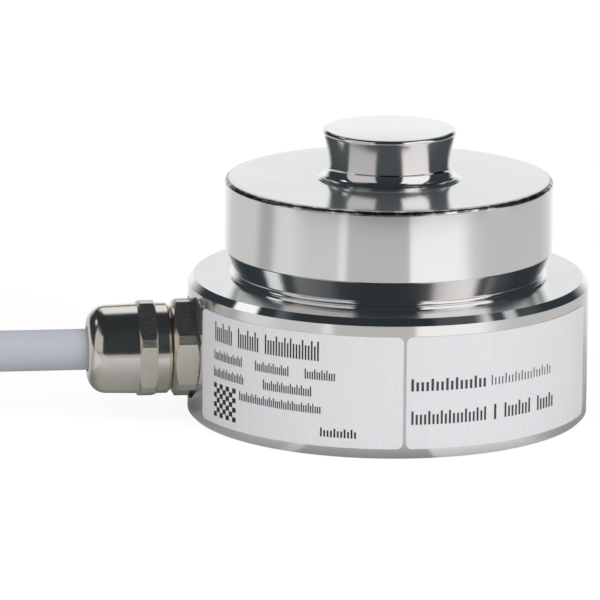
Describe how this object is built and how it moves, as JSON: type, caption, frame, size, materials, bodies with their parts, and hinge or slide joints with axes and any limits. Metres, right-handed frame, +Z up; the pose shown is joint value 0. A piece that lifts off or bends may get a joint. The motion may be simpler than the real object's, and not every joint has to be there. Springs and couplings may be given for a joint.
{
  "type": "ring torsion load cell",
  "caption": "Low round steel load cell with a bevelled base, a labelled rim, a disc-shaped load cap with a waisted button, and a side cable gland.",
  "frame": {"origin": "centre of the flat seat under the base", "axes": "+Z up through the load button, -X along the cable gland, +X away from it"},
  "size_m": [0.1956, 0.133, 0.043],
  "materials": {
    "base_steel": "fine turned, satin",
    "cap_steel": "ground and polished",
    "ring_steel": "fine turned",
    "gauge_foil": "amber film over foil",
    "board": "lacquered",
    "screw_steel": "plain",
    "resistor": "matte",
    "solder": "tinned",
    "wire_lacquer": "lacquered wire",
    "label_film": "satin film",
    "nickel_brass": "nickel plated, glossy",
    "seal_rubber": "matte",
    "claw_plastic": "moulded",
    "cable_sheath": "matte",
    "tie_plastic": "moulded",
    "core_black": "smooth",
    "core_blue": "smooth",
    "core_red": "smooth",
    "core_white": "smooth"
  },
  "bodies": {
    "root": {"base_housing": "base_steel", "load_cap": "cap_steel", "seal_ring": "cap_steel", "torsion_ring": "ring_steel", "gauge_upper_outer": "gauge_foil", "gauge_upper_inner": "gauge_foil", "gauge_lower_outer": "gauge_foil", "gauge_lower_inner": "gauge_foil", "bottom_cover": "base_steel", "wiring_board": "board", "board_screws": "screw_steel", "trim_resistors": "resistor", "solder_pads": "solder", "bridge_wires": "wire_lacquer", "inner_cores": "core_white", "label_data": "label_film", "label_plate": "label_film", "gland_body": "nickel_brass", "gland_o_ring": "seal_rubber", "gland_seal": "seal_rubber", "gland_claw": "claw_plastic", "gland_nut": "nickel_brass", "cable_lead": "cable_sheath", "cable_coil": "cable_sheath", "coil_ties": "tie_plastic", "cable_tail": "cable_sheath", "core_black": "core_black", "core_blue": "core_blue", "core_red": "core_red", "core_white": "core_white", "core_ferrules": "solder"}
  },
  "joints": []
}
